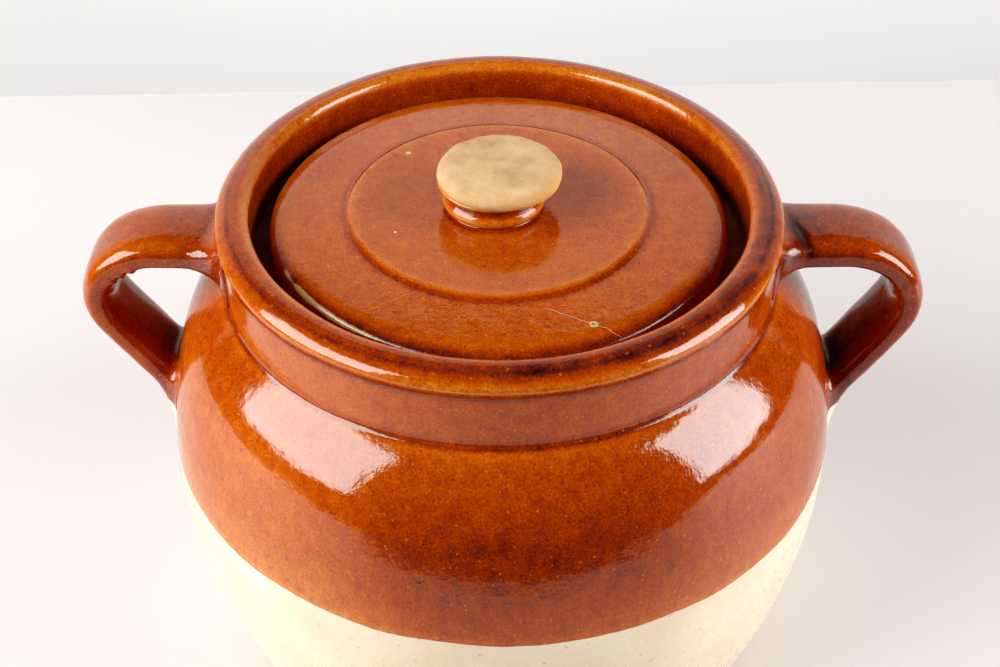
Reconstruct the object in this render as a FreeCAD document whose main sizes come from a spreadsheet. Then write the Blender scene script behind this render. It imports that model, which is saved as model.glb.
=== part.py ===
import FreeCAD, Part
import os
import re
import Sketcher

# A lidded stoneware crock. +Z is up, millimetres, origin at the centre of the foot on the table.
# The two handles stand out along -X (left) and +X (right).

# Driving dimensions, in millimetres and degrees. Every size below is bound to this sheet.
SIZES = {
    # glaze coats
    "coat": 0.5,               # thickness of every fired coat
    "glaze_line": 84.5,        # height where the brown coat stops and the cream one starts
    "bare_foot": 7,            # height of the unglazed band above the table
    # pot, outside
    "foot_round": 5,           # rounding between the lower wall and the standing ring
    "recess_radius": 68,       # shallow hollow turned under the foot
    "recess_depth": 3,
    "belly_radius": 103.7,     # widest radius of the pot, over the glaze
    "belly_height": 79,        # height of that widest circle
    "lower_arc": 175,          # radius of the wall's curve below the belly
    "upper_arc": 130,          # radius of the wall's curve above the belly
    "shoulder_start": 17.5,    # how far round the upper arc the tighter shoulder begins
    "shoulder_arc": 40,
    "root_round": 2.5,         # hollow where the shoulder meets the collar
    "collar_radius": 82,
    "collar_top_radius": 82.2,  # just under the rolled rim
    "collar_top_height": 156.8,
    "rim_radius": 83,          # widest radius of the rolled rim
    "rim_height": 164,
    "bead_round": 2.4,         # radius of the rim's roll where it is widest
    "bead_under": 25,          # how far that roll turns in below its widest circle
    "bead_over": 32,           # and how far above it
    "roll_round": 4.5,         # radius above the bead
    "roll_turn": 54,           # how far round the crown begins
    "crown_round": 9,          # radius over to the flat top
    "crown_turn": 84,          # how far round the flat top begins
    "rim_in_round": 2.5,
    # pot, inside
    "wall": 8,                 # thickness of wall and coats together
    "mouth_radius": 73,
    "seat_height": 146.5,      # ledge that the lid rests on
    "seat_coat_gap": 1,        # wiped band between the ledge and the brown coat
    "throat_radius": 60.5,     # opening inside the ledge
    "floor_height": 11,
    "floor_round": 14,
    # lid
    "lid_radius": 67.5,
    "lid_foot_round": 1.5,
    "lid_edge_round": 3.3,
    "lid_edge_height": 7.4,    # from the seat to the centre of that rounding
    "lid_edge_turn": 70,       # how far round the edge the brow begins
    "lid_brow": 18,            # radius between the edge and the nearly flat shelf
    "lid_brow_turn": 86,       # how far round the brow the shelf begins
    "plateau_height": 13.6,    # from the seat to the raised centre
    "plateau_radius": 43.6,
    "plateau_step": 1,         # height of the step round the raised centre
    "step_width": 1.6,
    "lid_bare_band": 2.5,      # unglazed band at the foot of the lid's edge
    "lid_ring_width": 8,       # flat ring under the lid that sits on the ledge
    "lid_thickness": 7,
    # knob, its heights measured from the raised centre
    "neck_foot_radius": 13.3,
    "bulge_radius": 15,
    "bulge_height": 3.8,
    "bulge_arc": 8,
    "flare_arc": 12,
    "lip_radius": 16.8,
    "lip_height": 9.2,
    "cap_radius": 18,
    "cap_edge_height": 10.9,
    "bevel_radius": 15.8,
    "bevel_height": 13.8,
    "knob_height": 14.6,
    # handles
    "strap_width": 25,
    "strap_thick": 9.5,
    "strap_round": 4.2,
    "strap_start": 76,         # inside the collar wall
    "strap_height": 148.5,     # centre line of the upper run
    "bend_start": 101,
    "upper_bend": 22,
    "upper_turn": 50,
    "lower_bend": 16,
    "lower_turn": 73,
    "lower_run": 29,
    "tail_bend": 36,
    "tail_turn": 16,
}

doc = FreeCAD.newDocument("stoneware_crock")
sheet = doc.addObject("Spreadsheet::Sheet", "Sizes")
for row, (alias, value) in enumerate(SIZES.items(), start=1):
    sheet.set(f"A{row}", str(value))
    sheet.setAlias(f"A{row}", alias)
doc.recompute()


def bound(text):
    """The expression with each alias written as a cell of the sheet."""
    return re.sub(r"[a-z]+(_[a-z]+)*", lambda word: full_name(word[0]), text)


def full_name(word):
    return f"Sizes.{word}" if word in SIZES else word


def amount(text):
    """The expression's value now."""
    value = sheet.evalExpression(bound(text))
    return float(getattr(value, "Value", value))


# An outline is a list of steps (across, up, radius, side): a straight line to that point, or, where
# radius is given, an arc of that radius whose centre lies to the left or right of the way travelled.

def line(across, up):
    return (across, up, None, None)


def arc(across, up, radius, side):
    return (across, up, radius, side)


def turned_back(path):
    """The same outline travelled the other way."""
    other = {"left": "right", "right": "left", None: None}
    points = [(across, up) for across, up, _, _ in reversed(path)]
    curves = [None] + [(radius, other[side]) for _, _, radius, side in reversed(path[1:])]
    return [
        (across, up, *(curve or (None, None)))
        for (across, up), curve in zip(points, curves)
    ]


def arc_through(start, end, radius, side):
    """The short arc from start to end, drawn anticlockwise as a sketch keeps it."""
    chord = end - start
    middle = (start + end) / 2
    rise = (radius**2 - (chord.Length / 2) ** 2) ** 0.5
    toward = FreeCAD.Vector(-chord.y, chord.x, 0).normalize() * (1 if side == "left" else -1)
    crown = middle + toward * (rise - radius)
    return Part.Arc(start, crown, end) if side == "left" else Part.Arc(end, crown, start)


def bind(sketch, kind, geometry, position, text, name):
    """Fix one size of the sketch and bind it to the sheet."""
    place = (geometry,) if position is None else (geometry, position)
    index = sketch.addConstraint(Sketcher.Constraint(kind, *place, amount(text)))
    sketch.renameConstraint(index, name)
    sketch.setExpression(f"Constraints.{name}", bound(text))


def place_point(sketch, geometry, position, across, up, name):
    """Fix a point of the sketch at (across, up); a plain 0 puts it on the axis."""
    for kind, text, axis in (("DistanceX", across, -2), ("DistanceY", up, -1)):
        if text == "0":
            sketch.addConstraint(Sketcher.Constraint("PointOnObject", geometry, position, axis))
        else:
            bind(sketch, kind, geometry, position, text, f"{name}_{kind[-1]}")


def draw(sketch, path, closed=True):
    """Draw the outline in the sketch, every point and radius bound to the sheet."""
    points = [FreeCAD.Vector(amount(step[0]), amount(step[1]), 0) for step in path]
    steps = path[1:] + path[:1] if closed else path[1:]
    ends = points[1:] + points[:1] if closed else points[1:]
    for index, (start, end, step) in enumerate(zip(points, ends, steps)):
        across, up, radius, side = step
        if radius is None:
            sketch.addGeometry(Part.LineSegment(start, end), False)
        else:
            sketch.addGeometry(arc_through(start, end, amount(radius), side), False)
        first, last = (2, 1) if side == "right" else (1, 2)
        if index == 0:
            place_point(sketch, 0, first, path[0][0], path[0][1], "start")
            opening = first
        else:
            sketch.addConstraint(Sketcher.Constraint("Coincident", index - 1, previous, index, first))
        if closed and index == len(steps) - 1:
            sketch.addConstraint(Sketcher.Constraint("Coincident", index, last, 0, opening))
        else:
            place_point(sketch, index, last, across, up, f"p{index + 1}")
        if radius is not None:
            bind(sketch, "Radius", index, None, radius, f"bend{index}")
        previous = last


def origin_plane(body, role):
    return next(part for part in body.Origin.OriginFeatures if part.Role == role)


def turned_body(name, path):
    """A body of revolution: the outline, drawn in the XZ plane, turned about Z."""
    body = doc.addObject("PartDesign::Body", name)
    body.Label = name
    sketch = body.newObject("Sketcher::SketchObject", f"{name}_outline")
    sketch.AttachmentSupport = [(origin_plane(body, "XZ_Plane"), "")]
    sketch.MapMode = "FlatFace"
    draw(sketch, path)
    turning = body.newObject("PartDesign::Revolution", f"{name}_turning")
    turning.Profile = sketch
    turning.ReferenceAxis = (sketch, ["V_Axis"])
    turning.Angle = 360
    body.Tip = turning
    return body


# Centres of the pot's curves, shared by the outside, the inside and every coat.
LOWER_X = "(belly_radius - lower_arc)"
UPPER_X = "(belly_radius - upper_arc)"
SHOULDER_X = f"({UPPER_X} + (upper_arc - shoulder_arc) * cos(shoulder_start))"
SHOULDER_Z = "(belly_height + (upper_arc - shoulder_arc) * sin(shoulder_start))"
ROOT_X = "(collar_radius + root_round)"
ROOT_GAP = "(shoulder_arc + root_round)"
ROOT_Z = f"({SHOULDER_Z} + sqrt({ROOT_GAP}^2 - ({ROOT_X} - {SHOULDER_X})^2))"
CROWN_GAP = "(crown_round - roll_round)"
ROLL_GAP = "(roll_round - bead_round)"
BEAD_X = "(rim_radius - bead_round)"
ROLL_X = f"({BEAD_X} - {ROLL_GAP} * cos(bead_over))"
CROWN_X = f"({ROLL_X} - {CROWN_GAP} * cos(roll_turn))"
CROWN_Z = "(rim_height - crown_round * sin(crown_turn))"
ROLL_Z = f"({CROWN_Z} + {CROWN_GAP} * sin(roll_turn))"
BEAD_Z = f"({ROLL_Z} + {ROLL_GAP} * sin(bead_over))"


def foot_steps(depth):
    """Standing ring and its rounding, for a surface that lies depth under the glaze."""
    reach = f"(lower_arc - {depth} - foot_round)"
    centre_x = f"({LOWER_X} + sqrt({reach}^2 - (belly_height - foot_round)^2))"
    radius = f"(lower_arc - {depth})"
    meet_x = f"{LOWER_X} + {radius} * ({centre_x} - {LOWER_X}) / {reach}"
    meet_z = f"belly_height - {radius} * (belly_height - foot_round) / {reach}"
    return [line(centre_x, "0"), arc(meet_x, meet_z, "foot_round", "left")]


def wall_point(depth, height):
    """Point of the lower wall at a height."""
    radius = f"(lower_arc - {depth})"
    return f"{LOWER_X} + sqrt({radius}^2 - (belly_height - {height})^2)", height


def line_point(depth):
    """Point of the upper wall at the glaze line."""
    radius = f"(upper_arc - {depth})"
    return f"{UPPER_X} + sqrt({radius}^2 - (glaze_line - belly_height)^2)", "glaze_line"


def belly_step(depth):
    return arc(f"belly_radius - {depth}", "belly_height", f"lower_arc - {depth}", "left")


def shoulder_steps(depth):
    """From the upper arc over the shoulder and the hollow at its root, up the collar and over the rim."""
    upper = f"(upper_arc - {depth})"
    tight = f"(shoulder_arc - {depth})"
    bead = f"(bead_round - {depth})"
    roll = f"(roll_round - {depth})"
    crown = f"(crown_round - {depth})"
    break_x = f"{UPPER_X} + {upper} * cos(shoulder_start)"
    break_z = f"belly_height + {upper} * sin(shoulder_start)"
    root_x = f"{SHOULDER_X} + {tight} * ({ROOT_X} - {SHOULDER_X}) / {ROOT_GAP}"
    root_z = f"{SHOULDER_Z} + {tight} * ({ROOT_Z} - {SHOULDER_Z}) / {ROOT_GAP}"
    collar = f"collar_radius - {depth}"
    return [
        arc(break_x, break_z, upper, "left"),
        arc(root_x, root_z, tight, "left"),
        arc(collar, ROOT_Z, f"root_round + {depth}", "right"),
        line(f"collar_top_radius - {depth}", "collar_top_height"),
        line(f"{BEAD_X} + {bead} * cos(bead_under)", f"{BEAD_Z} - {bead} * sin(bead_under)"),
        arc(f"{BEAD_X} + {bead} * cos(bead_over)", f"{BEAD_Z} + {bead} * sin(bead_over)", bead, "left"),
        arc(f"{ROLL_X} + {roll} * cos(roll_turn)", f"{ROLL_Z} + {roll} * sin(roll_turn)", roll, "left"),
        arc(f"{CROWN_X} + {crown} * cos(crown_turn)", f"{CROWN_Z} + {crown} * sin(crown_turn)", crown, "left"),
        line("mouth_radius + rim_in_round", f"rim_height - {depth}"),
        arc(f"mouth_radius + {depth}", "rim_height - rim_in_round", f"rim_in_round - {depth}", "left"),
    ]


def inner_steps(depth):
    """From the throat's top down the inside to the centre of the floor, depth under the liner."""
    throat = f"(throat_radius + {depth})"
    tight = f"(shoulder_arc - wall + {depth})"
    upper = f"(upper_arc - wall + {depth})"
    lower = f"(lower_arc - wall + {depth})"
    bend = f"(floor_round + {depth})"
    reach = f"(lower_arc - wall - floor_round)"
    drop = "(belly_height - floor_height - floor_round)"
    bend_x = f"({LOWER_X} + sqrt({reach}^2 - {drop}^2))"
    return [
        line(throat, f"{SHOULDER_Z} + sqrt({tight}^2 - ({throat} - {SHOULDER_X})^2)"),
        arc(
            f"{UPPER_X} + {upper} * cos(shoulder_start)",
            f"belly_height + {upper} * sin(shoulder_start)",
            tight,
            "right",
        ),
        arc(f"belly_radius - wall + {depth}", "belly_height", upper, "right"),
        arc(
            f"{LOWER_X} + {lower} * ({bend_x} - {LOWER_X}) / {reach}",
            f"belly_height - {lower} * {drop} / {reach}",
            lower,
            "right",
        ),
        arc(bend_x, f"floor_height - {depth}", bend, "right"),
        line("0", f"floor_height - {depth}"),
    ]


def make_crock_body():
    """The clay pot, turned in one piece."""
    recess = [
        line("0", "recess_depth"),
        line("recess_radius - recess_depth", "recess_depth"),
        line("recess_radius", "0"),
    ]
    seat = [line("mouth_radius + coat", "seat_height"), line("throat_radius + coat", "seat_height")]
    outside = foot_steps("coat") + [belly_step("coat")] + shoulder_steps("coat")
    return turned_body("crock_body", recess + outside + seat + inner_steps("coat"))


def make_cream_glaze():
    """The cream coat, from the bare foot up to the glaze line."""
    outer = [
        line(*wall_point("0", "bare_foot")),
        belly_step("0"),
        arc(*line_point("0"), "upper_arc", "left"),
    ]
    inner = [
        line(*wall_point("coat", "bare_foot")),
        belly_step("coat"),
        arc(*line_point("coat"), "upper_arc - coat", "left"),
    ]
    return turned_body("cream_glaze", outer + turned_back(inner))


def make_liner_glaze():
    """The coat inside the pot, from the ledge's inner edge down over the floor."""
    surface = [line("throat_radius", "seat_height - seat_coat_gap")] + inner_steps("0")
    against_clay = [line("throat_radius + coat", "seat_height - seat_coat_gap")] + inner_steps("coat")
    return turned_body("liner_glaze", surface + turned_back(against_clay))


PLATEAU = "(seat_height + plateau_height)"


def knob_neck_steps(depth):
    """Up the knob's neck and out under its cap to the lip."""
    return [
        line(f"neck_foot_radius - {depth}", f"{PLATEAU} - {depth}"),
        arc(f"bulge_radius - {depth}", f"{PLATEAU} + bulge_height", f"bulge_arc - {depth}", "left"),
        arc("lip_radius", f"{PLATEAU} + lip_height + {depth}", f"flare_arc + {depth}", "right"),
    ]


EDGE_X = "(lid_radius - lid_edge_round)"
EDGE_Z = "(seat_height + lid_edge_height)"
BROW_X = f"({EDGE_X} - (lid_brow - lid_edge_round) * cos(lid_edge_turn))"
BROW_Z = f"({EDGE_Z} - (lid_brow - lid_edge_round) * sin(lid_edge_turn))"


def lid_top_steps(depth):
    """From the lid's edge over its rounding and its brow, in along the shelf and up to the raised centre."""
    edge = f"(lid_edge_round - {depth})"
    brow = f"(lid_brow - {depth})"
    brow_start = (f"{EDGE_X} + {edge} * cos(lid_edge_turn)", f"{EDGE_Z} + {edge} * sin(lid_edge_turn)")
    brow_end = (f"{BROW_X} + {brow} * cos(lid_brow_turn)", f"{BROW_Z} + {brow} * sin(lid_brow_turn)")
    return [
        line(f"lid_radius - {depth}", EDGE_Z),
        arc(*brow_start, edge, "left"),
        arc(*brow_end, brow, "left"),
        line("plateau_radius + step_width", f"{PLATEAU} - plateau_step - {depth}"),
        line("plateau_radius", f"{PLATEAU} - {depth}"),
    ]


def make_lid_disc():
    """The clay disc, hollowed a little underneath inside the ring that it stands on."""
    edge = "lid_radius - coat"
    under = [
        line("0", f"{PLATEAU} - lid_thickness"),
        line("plateau_radius", f"{PLATEAU} - lid_thickness"),
        line("lid_radius - lid_ring_width", "seat_height"),
        line(f"{edge} - lid_foot_round", "seat_height"),
        arc(edge, "seat_height + lid_foot_round", "lid_foot_round", "left"),
    ]
    return turned_body("lid_disc", under + lid_top_steps("coat") + [line("0", f"{PLATEAU} - coat")])


def make_lid_knob():
    """The clay knob: neck, lip and bevelled cap with a slightly crowned top."""
    foot = [line("0", f"{PLATEAU} - coat")]
    rise = "(knob_height - bevel_height)"
    crown = f"(bevel_radius^2 + {rise}^2) / (2 * {rise})"
    cap = [
        line("cap_radius", f"{PLATEAU} + cap_edge_height"),
        line("bevel_radius", f"{PLATEAU} + bevel_height"),
        arc("0", f"{PLATEAU} + knob_height", crown, "left"),
    ]
    return turned_body("lid_knob", foot + knob_neck_steps("coat") + cap)


def make_lid_glaze():
    """The brown coat over the lid's edge and top and up the knob's neck to its lip."""
    stop = "seat_height + lid_bare_band"
    outer = [line("lid_radius", stop)] + lid_top_steps("0") + knob_neck_steps("0")
    inner = [line("lid_radius - coat", stop)] + lid_top_steps("coat") + knob_neck_steps("coat")
    return turned_body("lid_glaze", outer + turned_back(inner))


TURN = "(upper_turn + lower_turn)"
TAIL = "(upper_turn + lower_turn - tail_turn)"


def strap_path(sign):
    """Centre line of a handle: out from the collar, round the bend and down into the belly."""
    side, tail_side = ("right", "left") if sign == "" else ("left", "right")
    low_x = "(bend_start + (upper_bend - lower_bend) * sin(upper_turn))"
    low_z = "(strap_height - upper_bend + (upper_bend - lower_bend) * cos(upper_turn))"
    run_x = f"({low_x} + lower_bend * sin({TURN}))"
    run_z = f"({low_z} + lower_bend * cos({TURN}))"
    tail_x = f"({run_x} + lower_run * cos({TURN}))"
    tail_z = f"({run_z} - lower_run * sin({TURN}))"
    return [
        line(f"{sign}strap_start", "strap_height"),
        line(f"{sign}bend_start", "strap_height"),
        arc(
            f"{sign}(bend_start + upper_bend * sin(upper_turn))",
            "strap_height - upper_bend * (1 - cos(upper_turn))",
            "upper_bend",
            side,
        ),
        arc(f"{sign}{run_x}", run_z, "lower_bend", side),
        line(f"{sign}{tail_x}", tail_z),
        arc(
            f"{sign}({tail_x} + tail_bend * (sin({TURN}) - sin({TAIL})))",
            f"{tail_z} + tail_bend * (cos({TURN}) - cos({TAIL}))",
            "tail_bend",
            tail_side,
        ),
    ]


def strap_section(depth):
    """The strap's rounded section where it starts, seen along X."""
    half = f"(strap_width / 2 - {depth})"
    rise = f"(strap_thick / 2 - {depth})"
    bend = f"strap_round - {depth}"
    flat = "(strap_width / 2 - strap_round)"
    low = "(strap_height - strap_thick / 2 + strap_round)"
    high = "(strap_height + strap_thick / 2 - strap_round)"
    return [
        arc(f"-{flat}", f"strap_height - {rise}", bend, "left"),
        line(flat, f"strap_height - {rise}"),
        arc(half, low, bend, "left"),
        line(half, high),
        arc(flat, f"strap_height + {rise}", bend, "left"),
        line(f"-{flat}", f"strap_height + {rise}"),
        arc(f"-{half}", high, bend, "left"),
        line(f"-{half}", low),
    ]


def add_strap(body, kind, sign, depth):
    """Sweep the strap along its path in the body, adding it or taking it away."""
    name = f"{body.Name}_{'left' if sign else 'right'}_{kind}"
    section = body.newObject("Sketcher::SketchObject", f"{name}_section")
    section.AttachmentSupport = [(origin_plane(body, "YZ_Plane"), "")]
    section.MapMode = "FlatFace"
    section.setExpression("AttachmentOffset.Base.z", bound(f"{sign}strap_start"))
    draw(section, strap_section(depth))
    path = body.newObject("Sketcher::SketchObject", f"{name}_path")
    path.AttachmentSupport = [(origin_plane(body, "XZ_Plane"), "")]
    path.MapMode = "FlatFace"
    draw(path, strap_path(sign), closed=False)
    doc.recompute()
    pipe = body.newObject(f"PartDesign::{kind}Pipe", name)
    pipe.Profile = section
    pipe.Spine = (path, [f"Edge{index + 1}" for index in range(path.GeometryCount)])
    body.Tip = pipe
    doc.recompute()
    return pipe


def cut_round(body, depth):
    """Take away all that lies inside the pot's surface, but leave the coat inside its mouth."""
    sketch = body.newObject("Sketcher::SketchObject", f"{body.Name}_trim")
    sketch.AttachmentSupport = [(origin_plane(body, "XZ_Plane"), "")]
    sketch.MapMode = "FlatFace"
    outside = foot_steps(depth) + [belly_step(depth)] + shoulder_steps(depth)[:4]
    mouth = [
        line("mouth_radius + coat", "collar_top_height"),
        line("mouth_radius + coat", "seat_height"),
        line("0", "seat_height"),
    ]
    draw(sketch, [line("0", "0")] + outside + mouth)
    before = body.Shape.Volume
    groove = body.newObject("PartDesign::Groove", f"{body.Name}_trimming")
    groove.Profile = sketch
    groove.ReferenceAxis = (sketch, ["V_Axis"])
    groove.Angle = 360
    body.Tip = groove
    doc.recompute()
    if body.Shape.Volume >= before:
        raise RuntimeError(f"{body.Name}: trimming took nothing away")


def make_handle(name, sign):
    """A clay strap handle, trimmed to the clay of the pot."""
    body = doc.addObject("PartDesign::Body", name)
    body.Label = name
    add_strap(body, "Additive", sign, "coat")
    cut_round(body, "coat")
    return body


def make_brown_glaze():
    """The brown coat: one skin over the pot's upper half and both handles."""
    stop = "seat_height + seat_coat_gap"
    outer = [line(*line_point("0"))] + shoulder_steps("0") + [line("mouth_radius", stop)]
    inner = [line(*line_point("coat"))] + shoulder_steps("coat") + [line("mouth_radius + coat", stop)]
    body = turned_body("brown_glaze", outer + turned_back(inner))
    for sign in ("", "-"):
        add_strap(body, "Additive", sign, "0")
    cut_round(body, "coat")
    for sign in ("", "-"):
        add_strap(body, "Subtractive", sign, "coat")
    return body


PARTS = [
    make_crock_body(),
    make_handle("handle_left", "-"),
    make_handle("handle_right", ""),
    make_brown_glaze(),
    make_cream_glaze(),
    make_liner_glaze(),
    make_lid_disc(),
    make_lid_knob(),
    make_lid_glaze(),
]
doc.recompute()

for item in doc.Objects:
    if {"Invalid", "Error"} & set(item.State):
        raise RuntimeError(f"{item.Name} failed to compute: {item.State}")
for body in PARTS:
    if body.Shape.isNull() or not body.Shape.isValid():
        raise RuntimeError(f"{body.Label} has no valid shape")

os.makedirs("parts", exist_ok=True)
for body in PARTS:
    body.Shape.exportStep(f"parts/{body.Label}.step")
    box = body.Shape.BoundBox
    print(
        f"{body.Label}: {len(body.Shape.Solids)} solid, {body.Shape.Volume / 1000:.1f} cm3,"
        f" z {box.ZMin:.1f} to {box.ZMax:.1f}, x {box.XMin:.1f} to {box.XMax:.1f}"
    )
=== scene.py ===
import math

import bpy
import numpy as np
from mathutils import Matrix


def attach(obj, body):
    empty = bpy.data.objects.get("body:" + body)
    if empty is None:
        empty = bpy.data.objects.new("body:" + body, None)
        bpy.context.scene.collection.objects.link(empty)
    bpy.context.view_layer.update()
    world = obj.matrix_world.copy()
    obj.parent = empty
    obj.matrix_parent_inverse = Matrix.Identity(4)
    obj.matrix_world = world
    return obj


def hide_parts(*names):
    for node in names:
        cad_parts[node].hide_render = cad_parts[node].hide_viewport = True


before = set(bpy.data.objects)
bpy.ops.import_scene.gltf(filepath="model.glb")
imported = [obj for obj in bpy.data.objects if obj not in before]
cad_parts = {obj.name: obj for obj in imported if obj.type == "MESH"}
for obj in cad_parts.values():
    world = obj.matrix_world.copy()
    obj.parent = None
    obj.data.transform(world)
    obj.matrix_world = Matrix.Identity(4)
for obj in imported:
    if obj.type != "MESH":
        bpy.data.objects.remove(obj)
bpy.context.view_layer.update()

# A glazed stoneware crock with a lid. Outlines and sizes are in millimetres, as in the CAD, and become
# metres in the mesh. Angles round the pot are anticlockwise from +X; the front is -Y.
MM = 0.001
TAU = 2 * math.pi

COAT = 0.5            # fired coat over the clay
COAT_BURIED = 0.65    # how deep a coat's back face lies, inside the clay
COAT_LAP = 1.6        # how far the cream coat runs on under the brown one
GLAZE_LINE = 84.5
BARE_FOOT = 7.0
WALL = 8.0            # wall and both its coats
FLOOR = 11.0
FLOOR_ROUND = 14.0
SEAT = 146.5
RIM = 164.0
MOUTH = 73.0
THROAT = 60.5
LID_RADIUS = 67.5
PLATEAU = 160.1       # height of the lid's raised centre
KNOB_HEIGHT = 14.6    # from there to the knob's top

# The pot's outside, over the glaze.
FOOT_ROUND = 5.0
BELLY = 103.7
BELLY_HEIGHT = 79.0
LOWER_ARC = 175.0
UPPER_ARC = 130.0
SHOULDER_ARC = 40.0
SHOULDER_TURN = 17.5
ROOT_ROUND = 2.5
COLLAR = 82.0
COLLAR_TOP = (82.2, 156.8)
RIM_RADIUS = 83.0
BEAD_ROUND, ROLL_ROUND, CROWN_ROUND = 2.4, 4.5, 9.0
BEAD_UNDER, BEAD_OVER, ROLL_TURN, CROWN_TURN = -25, 32, 54, 84
RIM_IN_ROUND = 2.5


# ---------------------------------------------------------------- outlines

def bend(centre, radii, start, end, step=6.0, gap=0.8):
    """Points along an elliptical arc, its angles in degrees, at most step degrees or gap mm apart."""
    count = max(abs(end - start) / step, math.radians(abs(end - start)) * max(radii) / gap)
    angles = np.radians(np.linspace(start, end, max(3, math.ceil(count) + 1)))
    return np.c_[centre[0] + radii[0] * np.cos(angles), centre[1] + radii[1] * np.sin(angles)]


class Outline:
    """A line of (radius, height) points with its running length and its outward normals."""

    def __init__(self, *runs, gap=0.8):
        points = [np.asarray(runs[0], float).reshape(-1, 2)]
        for run in runs[1:]:
            run = np.asarray(run, float).reshape(-1, 2)
            start = points[-1][-1]
            count = max(1, math.ceil(np.linalg.norm(run[0] - start) / gap))
            way = start + (run[0] - start) * np.linspace(0, 1, count + 1)[1:, None]
            points.append(np.vstack([way, run[1:]]))
        points = np.vstack(points)
        far = np.r_[True, np.linalg.norm(np.diff(points, axis=0), axis=1) > 1e-4]
        self.points = points[far]
        self.length = np.r_[0, np.cumsum(np.linalg.norm(np.diff(self.points, axis=0), axis=1))]
        along = np.gradient(self.points, self.length, axis=0)
        along /= np.linalg.norm(along, axis=1)[:, None]
        self.normals = np.c_[along[:, 1], -along[:, 0]]
        heading = np.unwrap(np.arctan2(along[:, 1], along[:, 0]))
        self.curve = np.gradient(heading, self.length)

    def at(self, length):
        """Points and normals at these running lengths."""
        pick = lambda column: np.interp(length, self.length, column)
        normal = np.stack([pick(self.normals[:, 0]), pick(self.normals[:, 1])], -1)
        normal /= np.linalg.norm(normal, axis=-1)[..., None]
        return np.stack([pick(self.points[:, 0]), pick(self.points[:, 1])], -1), normal

    def nearest(self, across, up):
        """Running length of the outline's point nearest (across, up)."""
        return self.length[np.argmin(np.hypot(self.points[:, 0] - across, self.points[:, 1] - up))]

    def softness(self, spread):
        """Curvature along the outline, in 1/mm, positive where it is convex, averaged over spread mm."""
        ruler = np.arange(0, self.length[-1], 0.1)
        curve = np.interp(ruler, self.length, self.curve)
        reach = np.arange(-3 * spread, 3 * spread + 0.05, 0.1)
        weight = np.exp(-0.5 * (reach / spread) ** 2)
        padded = np.pad(curve, len(reach) // 2, mode="edge")
        return ruler, np.convolve(padded, weight / weight.sum(), mode="valid")[: len(ruler)]


def toward(degrees):
    """Unit step at this angle above the horizontal."""
    return np.array([math.cos(math.radians(degrees)), math.sin(math.radians(degrees))])


LOWER = np.array([BELLY - LOWER_ARC, BELLY_HEIGHT])
UPPER = np.array([BELLY - UPPER_ARC, BELLY_HEIGHT])
SHOULDER = UPPER + (UPPER_ARC - SHOULDER_ARC) * toward(SHOULDER_TURN)
ROOT_X = COLLAR + ROOT_ROUND
ROOT_Z = SHOULDER[1] + math.sqrt((SHOULDER_ARC + ROOT_ROUND) ** 2 - (ROOT_X - SHOULDER[0]) ** 2)
ROOT_TURN = math.degrees(math.atan2(ROOT_Z - SHOULDER[1], ROOT_X - SHOULDER[0]))

# Centres of the rolled rim's three curves: its bead, the roll over it and the crown.
BEAD_X = RIM_RADIUS - BEAD_ROUND
ROLL_X = BEAD_X - (ROLL_ROUND - BEAD_ROUND) * toward(BEAD_OVER)[0]
CROWN_X = ROLL_X - (CROWN_ROUND - ROLL_ROUND) * toward(ROLL_TURN)[0]
CROWN = np.array([CROWN_X, RIM - CROWN_ROUND * toward(CROWN_TURN)[1]])
ROLL = CROWN + (CROWN_ROUND - ROLL_ROUND) * toward(ROLL_TURN)
BEAD = ROLL + (ROLL_ROUND - BEAD_ROUND) * toward(BEAD_OVER)

# Outside, the foot's rounding runs into the lower wall here, in degrees round both curves. Inside, a short
# straight run joins the end of the wall's curve to the start of the floor's rounding.
FOOT_TURN = -25.8
WALL_TURN = -18.9
FLOOR_TURN = -20.7
THROAT_TURN = 88.3

# Over the glaze, from the standing ring up to the rim and down inside it to the ledge.
POT = Outline(
    bend((81.75, FOOT_ROUND), (FOOT_ROUND, FOOT_ROUND), -90, FOOT_TURN),
    bend(LOWER, (LOWER_ARC, LOWER_ARC), FOOT_TURN, 0),
    bend(UPPER, (UPPER_ARC, UPPER_ARC), 0, SHOULDER_TURN),
    bend(SHOULDER, (SHOULDER_ARC, SHOULDER_ARC), SHOULDER_TURN, ROOT_TURN, gap=0.7),
    bend((ROOT_X, ROOT_Z), (ROOT_ROUND, ROOT_ROUND), ROOT_TURN + 180, 180),
    [COLLAR_TOP],
    bend(BEAD, (BEAD_ROUND, BEAD_ROUND), BEAD_UNDER, BEAD_OVER, gap=0.3),
    bend(ROLL, (ROLL_ROUND, ROLL_ROUND), BEAD_OVER, ROLL_TURN, gap=0.3),
    bend(CROWN, (CROWN_ROUND, CROWN_ROUND), ROLL_TURN, CROWN_TURN, gap=0.4),
    bend((MOUTH + RIM_IN_ROUND, RIM - RIM_IN_ROUND), (RIM_IN_ROUND, RIM_IN_ROUND), 90, 180, gap=0.4),
    [(MOUTH, SEAT)],
)

# Over the liner, from the throat's top down to the middle of the floor.
INSIDE = Outline(
    [(THROAT, SEAT)],
    bend(SHOULDER, (SHOULDER_ARC - WALL, SHOULDER_ARC - WALL), THROAT_TURN, SHOULDER_TURN),
    bend(UPPER, (UPPER_ARC - WALL, UPPER_ARC - WALL), SHOULDER_TURN, 0),
    bend(LOWER, (LOWER_ARC - WALL, LOWER_ARC - WALL), 0, WALL_TURN),
    bend((71.85, FLOOR + FLOOR_ROUND), (FLOOR_ROUND, FLOOR_ROUND), FLOOR_TURN, -90),
    [(0, FLOOR)],
    gap=1.2,
)


# ---------------------------------------------------------------- surfaces

draws = np.random.default_rng(41)


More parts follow.
